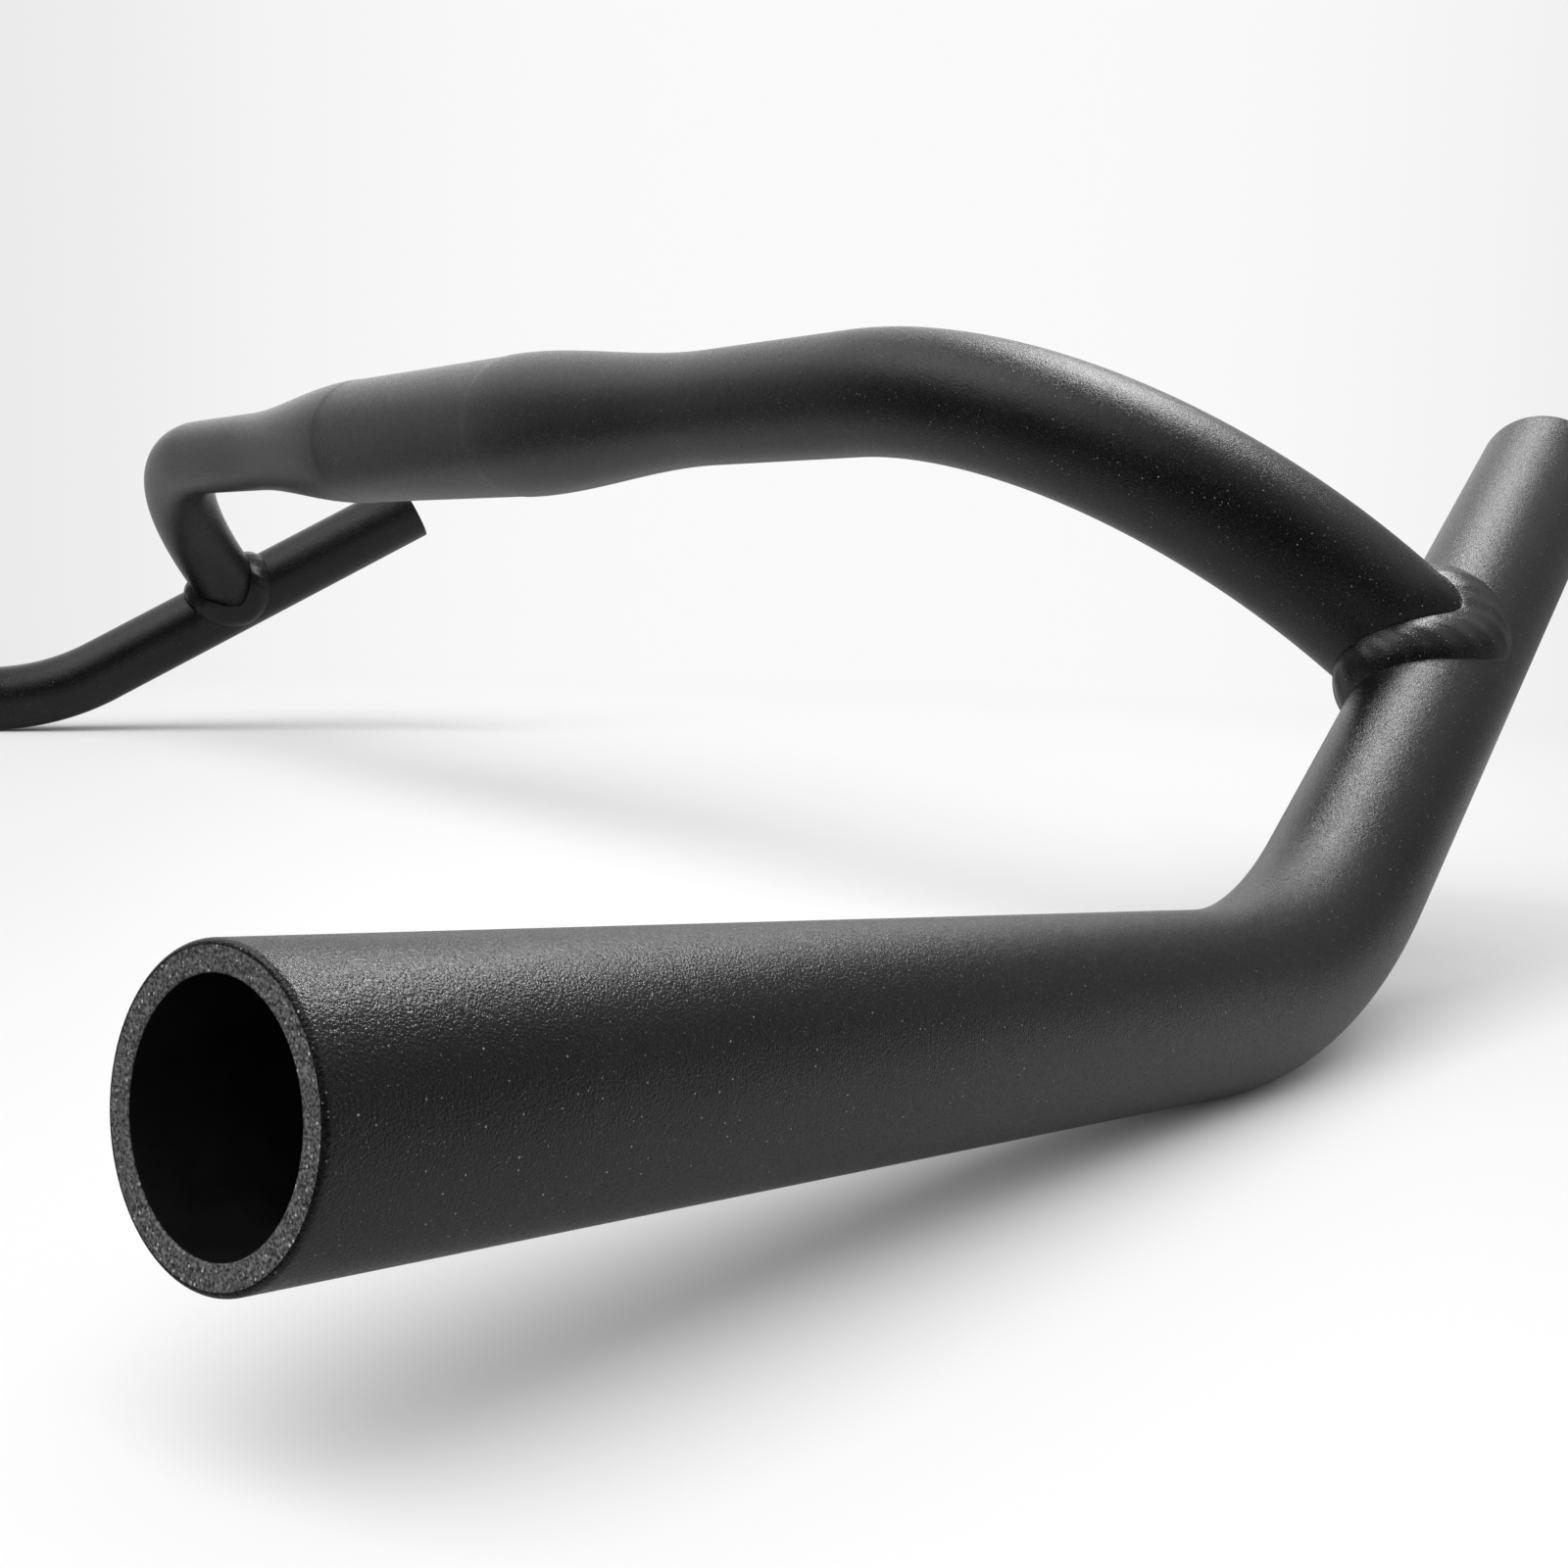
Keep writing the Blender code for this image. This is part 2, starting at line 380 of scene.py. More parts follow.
@dataclass(frozen=True)
class BarLayout:
    """Sizes and centrelines that the crossbar, side tubes and welds share."""

    # Tube stock
    tube_diameter: float = 0.0222
    tube_wall: float = 0.0022

    # Crossbar, from its middle to the right junction
    clamp_diameter: float = 0.0318
    clamp_length: float = 0.085
    taper_length: float = 0.073
    crossbar_straight: float = 0.1605
    crossbar_bend_radius: float = 0.095
    crossbar_bend_angle: float = math.radians(62.0)
    leg_drop_angle: float = math.radians(44.7)
    leg_straight: float = 0.0154

    # Side tube, from the junction forward to the horn and back to the grip
    horn_reach: float = 0.071
    horn_toe_in: float = math.radians(20.5)
    horn_rise: float = math.radians(29.5)
    junction_to_bend: float = 0.054
    side_bend_radius: float = 0.077
    grip_straight: float = 0.137
    grip_sweep: float = math.radians(15.0)
    grip_rise: float = math.radians(6.0)

    @property
    def tube_radius(self) -> float:
        """Outer radius of the tube stock."""
        return self.tube_diameter / 2

    def leg_turn(self) -> Vector:
        """Direction that the crossbar's right leg is bent towards."""
        return Vector((0.0, math.cos(self.leg_drop_angle), -math.sin(self.leg_drop_angle)))

    def leg(self) -> Vector:
        """Direction of the right leg, from its bend to the junction."""
        angle = self.crossbar_bend_angle
        return math.cos(angle) * ALONG_THE_BAR + math.sin(angle) * self.leg_turn()

    def horn(self) -> Vector:
        """Direction of the right horn, from the junction forward."""
        level = math.cos(self.horn_rise)
        return Vector((-level * math.sin(self.horn_toe_in), level * math.cos(self.horn_toe_in),
                       math.sin(self.horn_rise)))

    def grip(self) -> Vector:
        """Direction of the right grip, from its bend back to the open end."""
        level = math.cos(self.grip_rise)
        return Vector((level * math.sin(self.grip_sweep), -level * math.cos(self.grip_sweep),
                       math.sin(self.grip_rise)))

    def junction(self) -> Vector:
        """Find where the right leg's centreline meets the right side tube's.

        Returns:
            The point.
        """
        angle, radius = self.crossbar_bend_angle, self.crossbar_bend_radius
        bend_start = self.crossbar_straight * ALONG_THE_BAR
        bend_end = (bend_start + radius * math.sin(angle) * ALONG_THE_BAR
                    + radius * (1 - math.cos(angle)) * self.leg_turn())
        return bend_end + self.leg_straight * self.leg()

    def junction_axes(self) -> tuple[Vector, Vector, Vector, Vector]:
        """Find the directions at the right junction.

        Returns:
            Back up the leg, along the horn, to the flank and into the crotch.
        """
        leg, horn = -self.leg(), self.horn()
        flank = horn.cross(leg).normalized()
        return leg, horn, flank, leg.cross(flank)


class TubeSweep:
    """A tube skin that grows from one circle by extruding, scaling and spinning its last ring."""

    def __init__(self, start: Vector, heading: Vector, radius: float, sides: int) -> None:
        """Set the first ring.

        Args:
            start: Centre of the first ring.
            heading: Direction in which the tube grows.
            radius: Outer radius of the ring.
            sides: Number of corners round the ring.
        """
        self.mesh = bmesh.new()
        self.place, self.heading, self.radius = start.copy(), heading.normalized(), radius
        circle = bmesh.ops.create_circle(self.mesh, cap_ends=False, radius=radius, segments=sides)
        turn = self.heading.to_track_quat("Z", "Y").to_matrix().to_4x4()
        bmesh.ops.transform(self.mesh, matrix=Matrix.Translation(start) @ turn, verts=circle["verts"])
        self.ring = list(self.mesh.verts)
        self.ring_edges = list(self.mesh.edges)

    def _extrude(self, step: float) -> None:
        """Carry the last ring one step straight on.

        Args:
            step: How far.
        """
        grown = bmesh.ops.extrude_edge_only(self.mesh, edges=self.ring_edges)["geom"]
        self.ring = [item for item in grown if isinstance(item, bmesh.types.BMVert)]
        fresh = set(self.ring)
        self.ring_edges = [item for item in grown if isinstance(item, bmesh.types.BMEdge)
                           and fresh.issuperset(item.verts)]
        bmesh.ops.translate(self.mesh, vec=step * self.heading, verts=self.ring)
        self.place = self.place + step * self.heading

    def straight(self, length: float, steps: int = 1) -> None:
        """Grow straight on.

        Args:
            length: How far.
            steps: Number of rings that it takes.
        """
        for _ in range(steps):
            self._extrude(length / steps)

    def taper(self, length: float, radius: float, steps: int) -> None:
        """Grow straight on while the radius eases to another one.

        Args:
            length: How far.
            radius: Radius at the end.
            steps: Number of rings that it takes.
        """
        first = self.radius
        for step in range(1, steps + 1):
            self._extrude(length / steps)
            share = step / steps
            eased = share * share * (3 - 2 * share)
            wanted = first + eased * (radius - first)
            ratio = wanted / self.radius
            bmesh.ops.scale(self.mesh, vec=(ratio, ratio, ratio), verts=self.ring,
                            space=Matrix.Translation(-self.place))
            self.radius = wanted

    def bend(self, toward: Vector, radius: float, angle: float, steps: int) -> None:
        """Bend towards a direction square to the heading.

        Args:
            toward: Unit vector from the tube to the bend's centre.
            radius: Radius of the centreline.
            angle: How far the tube turns.
            steps: Number of rings that it takes.
        """
        centre, axis = self.place + radius * toward, self.heading.cross(toward)
        spun = bmesh.ops.spin(self.mesh, geom=self.ring + self.ring_edges, cent=centre, axis=axis,
                              dvec=(0.0, 0.0, 0.0), angle=angle, steps=steps, use_merge=False,
                              use_duplicate=False)["geom_last"]
        self.ring = [item for item in spun if isinstance(item, bmesh.types.BMVert)]
        self.ring_edges = [item for item in spun if isinstance(item, bmesh.types.BMEdge)]
        turn = Matrix.Rotation(angle, 3, axis)
        self.place = centre + turn @ (self.place - centre)
        self.heading = turn @ self.heading


@dataclass
class Piece:
    """One physical piece of the bar."""

    layout: BarLayout
    finishes: Finishes

    def show(self, name: str, mesh: bmesh.types.BMesh, materials: list[bpy.types.Material],
             node: str) -> bpy.types.Object:
        """Turn a finished mesh into an object that stands for a solid.

        Args:
            name: Name of the new piece.
            mesh: The mesh, which is freed.
            materials: Its materials, in slot order.
            node: Name of the solid that it replaces.

        Returns:
            The new object.
        """
        data = bpy.data.meshes.new(name)
        mesh.to_mesh(data)
        mesh.free()
        # A rim is flat, so its faces keep their own shade up to the sharp turn into its rounding.
        for polygon in data.polygons:
            polygon.use_smooth = polygon.material_index != Skin.RIM.value
        for material in materials:
            data.materials.append(material)
        piece = bpy.data.objects.new(name, data)
        bpy.context.scene.collection.objects.link(piece)
        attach(piece, ROOT_BODY)
        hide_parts(node)
        LOG.info("%s: %d faces, stands for %s", name, len(data.polygons), node)
        return piece


@dataclass
class SideTube(Piece):
    """One bent side tube, from the open horn end to the open grip end."""

    side: Side

    # Fineness, with a short ring at each end that keeps the rim's rounding even
    sides: int = 128
    straight_steps: int = 6
    bend_steps: int = 40
    end_hold: float = 0.0015

    # Rims
    outer_rounding: float = 0.00045
    inner_rounding: float = 0.0002
    rim_segments: int = 5
    rim_angle: float = math.radians(60.0)

    def build(self) -> bpy.types.Object:
        """Build and dress the tube.

        Returns:
            The finished piece.
        """
        mesh, ends = self._skin()
        outer = set(mesh.faces)
        bmesh.ops.solidify(mesh, geom=list(mesh.faces), thickness=self.layout.tube_wall)
        for face in mesh.faces:
            face.material_index = Skin.WALL.value if face in outer else Skin.BORE.value
        self._round_rims(mesh)
        self._coat_rims(mesh, ends)
        name = self.side.label + "_side_tube"
        return self.show(name + "_coated", mesh,
                         [self.finishes.wall, self.finishes.rim, self.finishes.bore], name)

    def _skin(self) -> tuple[bmesh.types.BMesh, list[tuple[Vector, Vector]]]:
        """Sweep the outer skin.

        Returns:
            The open skin, and the middle and outward direction of each end.
        """
        layout = self.layout
        horn, grip = layout.horn(), layout.grip()
        angle = math.acos(-horn.dot(grip))
        toward = (grip + horn * math.cos(angle)).normalized()
        start = self.side.mirrored(layout.junction() + layout.horn_reach * horn)
        sweep = TubeSweep(start, self.side.mirrored(-horn), layout.tube_radius, self.sides)
        first = (start, -sweep.heading)
        sweep.straight(self.end_hold)
        sweep.straight(layout.horn_reach + layout.junction_to_bend - self.end_hold, self.straight_steps)
        sweep.bend(self.side.mirrored(toward), layout.side_bend_radius, angle, self.bend_steps)
        sweep.straight(layout.grip_straight - self.end_hold, self.straight_steps)
        sweep.straight(self.end_hold)
        bmesh.ops.recalc_face_normals(sweep.mesh, faces=sweep.mesh.faces)
        return sweep.mesh, [first, (sweep.place, sweep.heading)]

    def _round_rims(self, mesh: bmesh.types.BMesh) -> None:
        """Round the outer and the inner edge of both open ends.

        Args:
            mesh: The tube, with its wall.
        """
        middle_circle = 2 * math.pi * (self.layout.tube_radius - self.layout.tube_wall / 2)
        middle_length = middle_circle / self.sides
        sharp = [edge for edge in mesh.edges if edge.calc_face_angle() > self.rim_angle]
        outer = [edge for edge in sharp if edge.calc_length() > middle_length]
        inner = [edge for edge in sharp if edge.calc_length() < middle_length]
        for edges, rounding in ((outer, self.outer_rounding), (inner, self.inner_rounding)):
            bmesh.ops.bevel(mesh, geom=edges, offset=rounding, offset_type="OFFSET",
                            segments=self.rim_segments, profile=0.5, affect="EDGES", material=-1)

    def _coat_rims(self, mesh: bmesh.types.BMesh, ends: list[tuple[Vector, Vector]]) -> None:
        """Give each rim's flat and inner rounding the rim's paler coat of painted light and glints, and
        its outer rounding the wall's.

        Args:
            mesh: The tube, with its rims rounded.
            ends: The middle and outward direction of each end.
        """
        flat_edge = self.layout.tube_radius - self.outer_rounding
        for face in mesh.faces:
            middle = face.calc_center_median()
            for place, outward in ends:
                depth = (place - middle).dot(outward)
                wide = (middle - place).length
                if wide < self.layout.tube_diameter and depth < self.outer_rounding:
                    face.material_index = Skin.RIM.value if wide < flat_edge else Skin.WALL.value


@dataclass
class Crossbar(Piece):
    """The hollow crossbar: clamp bulge, tapers, bends and two coped legs."""

    # Slight lip at each end of the clamp zone
    lip_width: float = 0.003
    lip_height: float = 0.00014

    # Fineness
    sides: int = 128
    clamp_steps: int = 2
    lip_steps: int = 6
    taper_steps: int = 24
    straight_steps: int = 3
    bend_steps: int = 44

    def build(self) -> bpy.types.Object:
        """Build and dress the crossbar.

        Returns:
            The finished piece.
        """
        layout = self.layout
        clamp_radius = layout.clamp_diameter / 2
        sweep = TubeSweep(Vector(), ALONG_THE_BAR, clamp_radius - self.lip_height, self.sides)
        sweep.straight(layout.clamp_length / 2 - self.lip_width, self.clamp_steps)
        sweep.taper(self.lip_width, clamp_radius, self.lip_steps)
        sweep.taper(layout.taper_length, layout.tube_radius, self.taper_steps)
        sweep.straight(layout.crossbar_straight - layout.clamp_length / 2 - layout.taper_length,
                       self.straight_steps)
        sweep.bend(layout.leg_turn(), layout.crossbar_bend_radius, layout.crossbar_bend_angle,
                   self.bend_steps)
        sweep.straight(layout.leg_straight)
        self._cope(sweep)
        mesh = sweep.mesh
        bmesh.ops.mirror(mesh, geom=[*mesh.verts, *mesh.edges, *mesh.faces], matrix=Matrix.Identity(4),
                         merge_dist=MERGE_DISTANCE, axis="X")
        bmesh.ops.recalc_face_normals(mesh, faces=mesh.faces)
        bmesh.ops.solidify(mesh, geom=list(mesh.faces), thickness=layout.tube_wall)
        return self.show("crossbar_coated", mesh, [self.finishes.wall], "crossbar")

    def _cope(self, sweep: TubeSweep) -> None:
        """Slide the last ring back along the leg until it meets the side tube.

        Args:
            sweep: The right half of the crossbar, grown to the junction.
        """
        layout = self.layout
        leg, horn, flank, crotch = layout.junction_axes()
        slant, span = leg.dot(horn), leg.cross(horn).length
        for vert in sweep.ring:
            offset = vert.co - layout.junction()
            beside, above = offset.dot(flank), offset.dot(crotch)
            height = math.sqrt(max(layout.tube_radius ** 2 - beside ** 2, 0.0))
            vert.co += (height + slant * above) / span * leg


@dataclass(frozen=True)
class BeadSection:
    """Where the right bead lies at one angle round the leg."""

    across: float
    out: float
    outward: Vector
    seam: Vector
    seam_along: float
    leg_toe: Vector
    toe_along: float
    toe_roll: float


@dataclass
class WeldBead(Piece):
    """One rippled weld bead round the line where a leg meets a side tube."""

    side: Side

    # Width on each tube, height in the crotch and on the flanks, how softly it turns at the flanks,
    # and how deep it lies in the tubes
    reach: float = 0.0046
    crotch_bulge: float = 0.0004
    flank_height: float = 0.0018
    softness: float = 0.25
    sink: float = 0.00012

    # Ripples, which lag at the bead's two edges by the chevron
    ripple_height: float = 0.00006
    ripples: int = 26
    chevron: float = 1.6

    # Fineness, and the round blank that the bead starts from
    steps_per_ripple: int = 10
    profile_sides: int = 28
    back_steps: int = 24
    blank_radius: float = 0.002

    @property
    def seat_radius(self) -> float:
        """Radius at which the bead lies on the tubes, a little under their skin."""
        return self.layout.tube_radius - self.sink

    def build(self) -> bpy.types.Object:
        """Spin a round blank about the leg, then move its points to the bead's shape.

        Returns:
            The finished piece.
        """
        mesh = self._blank()
        origin = self.layout.junction()
        leg, _, flank, crotch = self.layout.junction_axes()
        for vert in mesh.verts:
            offset = vert.co - origin
            across, out = offset.dot(flank), offset.dot(crotch)
            wide = math.hypot(across, out)
            around = math.atan2(offset.dot(leg), wide - self.layout.tube_radius)
            corner = round(around / (2 * math.pi) * self.profile_sides) % self.profile_sides
            vert.co = self.side.mirrored(self._corner(math.atan2(out, across), corner))
        bmesh.ops.recalc_face_normals(mesh, faces=mesh.faces)
        name = self.side.label + "_weld"
        return self.show(name + "_bead", mesh, [self.finishes.weld], name)

    def _blank(self) -> bmesh.types.BMesh:
        """Spin a ring with a round section about the right leg's axis.

        Returns:
            The ring.
        """
        leg, _, flank, crotch = self.layout.junction_axes()
        origin = self.layout.junction()
        mesh = bmesh.new()
        circle = bmesh.ops.create_circle(mesh, cap_ends=False, radius=self.blank_radius,
                                         segments=self.profile_sides)
        turn = Matrix((flank, leg, crotch)).transposed().to_4x4()
        middle = Matrix.Translation(origin + self.layout.tube_radius * flank)
        bmesh.ops.transform(mesh, matrix=middle @ turn, verts=circle["verts"])
        bmesh.ops.spin(mesh, geom=[*mesh.verts, *mesh.edges], cent=origin, axis=leg,
                       dvec=(0.0, 0.0, 0.0), angle=2 * math.pi, use_merge=True, use_duplicate=False,
                       steps=self.ripples * self.steps_per_ripple)
        return mesh

    def _side_surface(self, along: float, roll: float) -> tuple[Vector, Vector]:
        """Find a point round the right side tube near the junction.

        Args:
            along: How far along the horn's direction.
            roll: Angle from the side that faces the leg towards the flank.

        Returns:
            The point and its outward direction.
        """
        _, horn, flank, _ = self.layout.junction_axes()
        outward = math.sin(roll) * flank + math.cos(roll) * flank.cross(horn)
        return self.layout.junction() + along * horn + self.seat_radius * outward, outward

    def _section(self, turn: float) -> BeadSection:
        """Find where the right bead lies at one angle.

        Args:
            turn: Angle round the leg's axis, from the flank towards the horn.

        Returns:
            The places and angles that its corners are worked out from.
        """
        radius = self.seat_radius
        leg, horn, flank, crotch = self.layout.junction_axes()
        slant, span = leg.dot(horn), leg.cross(horn).length
        across, out = math.cos(turn), math.sin(turn)
        outward = across * flank + out * crotch
        leg_side = self.layout.junction() + radius * outward
        climb = math.hypot(out, self.softness * across)
        seam = leg_side + radius * (abs(out) + slant * out) / span * leg
        leg_toe = leg_side + (radius * (climb + slant * out) / span + self.reach) * leg
        seam_along = (seam - self.layout.junction()).dot(horn)
        toe_along = seam_along + self.reach * out
        toe_roll = (math.asin(math.sqrt(1 - self.softness ** 2) * across)
                    + math.sqrt(2) * self.reach / radius * across)
        return BeadSection(across, out, outward, seam, seam_along, leg_toe, toe_along, toe_roll)

    def _corner(self, turn: float, corner: int) -> Vector:
        """Find the place of one corner of the right bead.

        Args:
            turn: Angle round the leg's axis, from the flank towards the horn.
            corner: Number of the corner in the section, from the toe on the leg over the back to
                the toe on the side tube and back under the bead.

        Returns:
            The corner's place.
        """
        section = self._section(turn)
        if corner <= self.back_steps:
            return self._back(section, turn, corner / self.back_steps)
        under_steps = self.profile_sides - self.back_steps
        return self._underside(section, 2 * (corner - self.back_steps) / under_steps)

    def _back(self, section: BeadSection, turn: float, share: float) -> Vector:
        """Find a place on the rippled back of the right bead.

        Args:
            section: Where the bead lies.
            turn: Its angle round the leg's axis.
            share: 0 at the toe on the leg and 1 at the toe on the side tube.

        Returns:
            The place.
        """
        side_toe, side_outward = self._side_surface(section.toe_along, section.toe_roll)
        arch = 4 * share * (1 - share)
        wave = self.ripples * turn + self.chevron * (2 * share - 1) ** 2
        ripple = self.ripple_height * math.cos(wave)
        height = (self.crotch_bulge * section.out ** 2 + self.flank_height * section.across ** 2
                  + self.sink + ripple)
        upward = (section.outward + side_outward).normalized()
        return section.leg_toe.lerp(side_toe, share) + arch * height * upward

    def _underside(self, section: BeadSection, way: float) -> Vector:
        """Find a place under the right bead.

        Args:
            section: Where the bead lies.
            way: 0 at the toe on the side tube, 1 at the seam and 2 at the toe on the leg.

        Returns:
            The place.
        """
        if way >= 1:
            return section.seam.lerp(section.leg_toe, way - 1)
        roll = section.toe_roll + way * (math.asin(section.across) - section.toe_roll)
        along = section.toe_along + way * (section.seam_along - section.toe_along)
        return self._side_surface(along, roll)[0]


def heading_direction(heading: float, height: float) -> Vector:
    """Turn a heading and a height in degrees into a direction.

    Args:
        heading: Angle from straight ahead of the rider, positive to the right.
        height: Angle above the horizon.

    Returns:
        The unit direction.
    """
    level = math.cos(math.radians(height))
    return Vector((level * math.sin(math.radians(heading)), level * math.cos(math.radians(heading)),
                   math.sin(math.radians(height))))


@dataclass(frozen=True)
class Softbox:
    """One soft rectangular light, placed by where it stands as seen from the bar.

    It may show in gloss only, or light matte surfaces only, which are the sheet and the coat's own
    faint colour, because the two need different light.
    """

    name: str
    heading: float
    height: float
    distance: float
    width: float
    tall: float
    radiance: float
    on_matte: bool
    in_gloss: bool

    def hang(self, target: Vector) -> None:
        """Hang the light so that it faces the target.

        Args:
            target: The point that it looks at.
        """
        lamp = bpy.data.lights.new(self.name, "AREA")
        lamp.shape = "RECTANGLE"
        lamp.size, lamp.size_y = self.width, self.tall
        area = self.width * self.tall
        lamp.energy = self.radiance * math.pi * area
        toward = heading_direction(self.heading, self.height)
        box = bpy.data.objects.new(self.name, lamp)
        box.location = target + self.distance * toward
        box.rotation_mode = "QUATERNION"
        box.rotation_quaternion = (-toward).to_track_quat("-Z", "Y")
        box.visible_camera = False
        box.visible_diffuse, box.visible_glossy = self.on_matte, self.in_gloss
        bpy.context.scene.collection.objects.link(box)
        LOG.info("%s hung %.2f m away", self.name, self.distance)


@dataclass(frozen=True)
class Glow:
    """A soft patch of brightness in the room round the bar."""

    heading: float
    height: float
    level: float
    full_angle: float
    end_angle: float

    def add_to(self, graph: NodeGraph, direction: bpy.types.NodeSocket) -> bpy.types.NodeSocket:
        """Work out how much the patch adds in a direction.

        Args:
            graph: The tree that gets the nodes.
            direction: Socket with the unit direction in the world.

        Returns:
            The socket with the brightness.
        """
        toward = heading_direction(self.heading, self.height)
        dot = graph.add("ShaderNodeVectorMath", {1: toward}, operation="DOT_PRODUCT")
        graph.link(direction, dot.inputs[0])
        return graph.remap(dot.outputs["Value"], math.cos(math.radians(self.end_angle)),
                           math.cos(math.radians(self.full_angle)), 0.0, self.level, smooth=True)


@dataclass(frozen=True)
class SheetEdge:
    """A side on which reflections see the sheet end and the dim room begin, a painted darkness in
    reflections only, while the sheet goes on for the camera and for matte light.
    """

    heading: float
    start: float
    end: float

    def beyond(self, graph: NodeGraph, place: bpy.types.NodeSocket) -> bpy.types.NodeSocket:
        """Work out how far past the edge a place is.

        Args:
            graph: The tree that gets the nodes.
            place: Socket with the place on the sheet.

        Returns:
            The socket with 0 on the sheet and 1 past its edge.
        """
        reach = graph.add("ShaderNodeVectorMath", {1: heading_direction(self.heading, 0.0)},
                          operation="DOT_PRODUCT")
        graph.link(place, reach.inputs[0])
        return graph.remap(reach.outputs["Value"], self.start, self.end, 0.0, 1.0, smooth=True)


@dataclass
class Studio:
    """The pale sheet, the backdrop, the soft lights and the camera."""

    # Sheet on the floor, which fades into the backdrop further out
    floor_height: float = -0.0929
    floor_radius: float = 9.0
    floor_sides: int = 64
    sheet_share: float = 0.93
    # Darker tone that the coat's reflections see on the sheet: painted shade in reflections
    sheet_tone_in_coat: float = 0.44
    # Level and reach of the sheet's even tone near the front, part of its painted falloff of light
    near_tone: float = 0.89
    near_start: float = 0.08
    near_end: float = 0.40
    fade_start: float = 0.42
    fade_end: float = 0.80
    # Sides past which only reflections see the dim room in place of the sheet: painted darkness in
    # reflections
    sheet_edges: tuple[SheetEdge, ...] = (
        SheetEdge(-168.0, 0.06, 0.16),
        SheetEdge(118.0, 0.34, 0.50),
    )

    # Backdrop, whose tone falls off to both sides of a heading as a painted falloff of light
    backdrop_tone: float = 0.95
    backdrop_edge_tone: float = 0.82
    backdrop_middle: float = -51.0
    backdrop_spread: float = 26.0

    # Room, with an even light on matte things and with glows that the coat reflects, each given by
    # its heading, height, level, full angle and end angle
    room_level: float = 0.03
    even_light: float = 0.41
    glows: tuple[Glow, ...] = (
        Glow(-56.0, 25.0, 0.90, 8.0, 36.0),
        Glow(-88.0, 5.0, 0.45, 10.0, 33.0),
        Glow(-114.0, 38.0, 0.60, 6.0, 22.0),
        Glow(25.0, 8.0, 0.22, 30.0, 80.0),
        Glow(-140.0, 15.0, 0.14, 25.0, 60.0),
        Glow(-30.0, 84.0, 0.60, 20.0, 66.0),
    )

    # Lamps
    light_target: tuple[float, float, float] = (0.18, 0.0, -0.05)
    softboxes: tuple[Softbox, ...] = (
        Softbox("key_softbox", heading=-17.0, height=67.5, distance=0.48, width=0.18, tall=0.16,
                radiance=17.8, on_matte=False, in_gloss=True),
        Softbox("side_softbox", heading=-160.0, height=51.0, distance=1.3, width=0.9, tall=0.7,
                radiance=2.0, on_matte=False, in_gloss=True),
        Softbox("sheet_softbox", heading=148.0, height=44.0, distance=5.0, width=6.0, tall=6.0,
                radiance=3.6, on_matte=True, in_gloss=False),
    )

    # Camera, where the photograph was taken from
    camera_place: tuple[float, float, float] = (0.43182, -0.21640, -0.03304)
    camera_forward: tuple[float, float, float] = (-0.79664, 0.59534, -0.10454)
    camera_up: tuple[float, float, float] = (-0.09959, 0.0413, 0.99417)
    lens: float = 44.489
    sensor_width: float = 36.0
    clip_start: float = 0.01
    clip_end: float = 50.0

    def build(self) -> None:
        """Set up everything round the bar."""
        self._floor()
        self._world()
        for softbox in self.softboxes:
            softbox.hang(Vector(self.light_target))
        self._camera()
        bpy.context.scene.view_settings.view_transform = "Standard"

    def _floor(self) -> None:
        """Lay a wide sheet that keeps the bar's shadow and turns into the backdrop further out."""
        mesh = bmesh.new()
        bmesh.ops.create_circle(mesh, cap_ends=True, radius=self.floor_radius,
                                segments=self.floor_sides,
                                matrix=Matrix.Translation((0.0, 0.0, self.floor_height)))
        data = bpy.data.meshes.new("studio_floor")
        mesh.to_mesh(data)
        mesh.free()
        data.materials.append(self._floor_material())
        floor = bpy.data.objects.new("studio_floor", data)
        bpy.context.scene.collection.objects.link(floor)
        LOG.info("studio floor at %.4f m", self.floor_height)

    def _floor_material(self) -> bpy.types.Material:
        """Make the matte white sheet.

        Returns:
            A new node material.
        """
        sheet = bpy.data.materials.new("white_sheet")
        sheet.use_nodes = True
        graph = NodeGraph(sheet.node_tree)
        place = graph.add("ShaderNodeTexCoord").outputs["Object"]
        outward = graph.add("ShaderNodeVectorMath", operation="NORMALIZE")
        graph.link(place, outward.inputs[0])
        sight = graph.add("ShaderNodeVectorMath", {1: self.camera_place}, operation="SUBTRACT")
        graph.link(place, sight.inputs[0])
        matte = graph.add("ShaderNodeBsdfDiffuse")
        graph.link(self._sheet_tone(graph, sight.outputs[0]), matte.inputs["Color"])
        glow = graph.add("ShaderNodeEmission", {"Color": WHITE})
        graph.link(self._surroundings(graph, outward.outputs[0], sight.outputs[0]),
                   glow.inputs["Strength"])
        mix = graph.add("ShaderNodeMixShader")
        graph.link(self._past_sheet(graph, place), mix.inputs[0])
        graph.link(matte.outputs[0], mix.inputs[1])
        graph.link(glow.outputs[0], mix.inputs[2])
        graph.finish_surface(mix.outputs[0])
        return sheet

    def _past_sheet(self, graph: NodeGraph, place: bpy.types.NodeSocket) -> bpy.types.NodeSocket:
        """Work out how far the sheet has turned into the surroundings.

        Args:
            graph: The tree that gets the nodes.
            place: Socket with the place on the sheet.

        Returns:
            The socket with 0 on the sheet and 1 past it, where reflections see it end sooner.
        """
        distance = graph.add("ShaderNodeVectorMath", operation="LENGTH")
        graph.link(place, distance.inputs[0])
        share = graph.remap(distance.outputs["Value"], self.fade_start, self.fade_end, 0.0, 1.0,
                            smooth=True)
        path = graph.add("ShaderNodeLightPath")
        for edge in self.sheet_edges:
            seen = graph.calculate("MULTIPLY", edge.beyond(graph, place), path.outputs["Is Glossy Ray"])
            share = graph.calculate("MAXIMUM", share, seen)
        return share

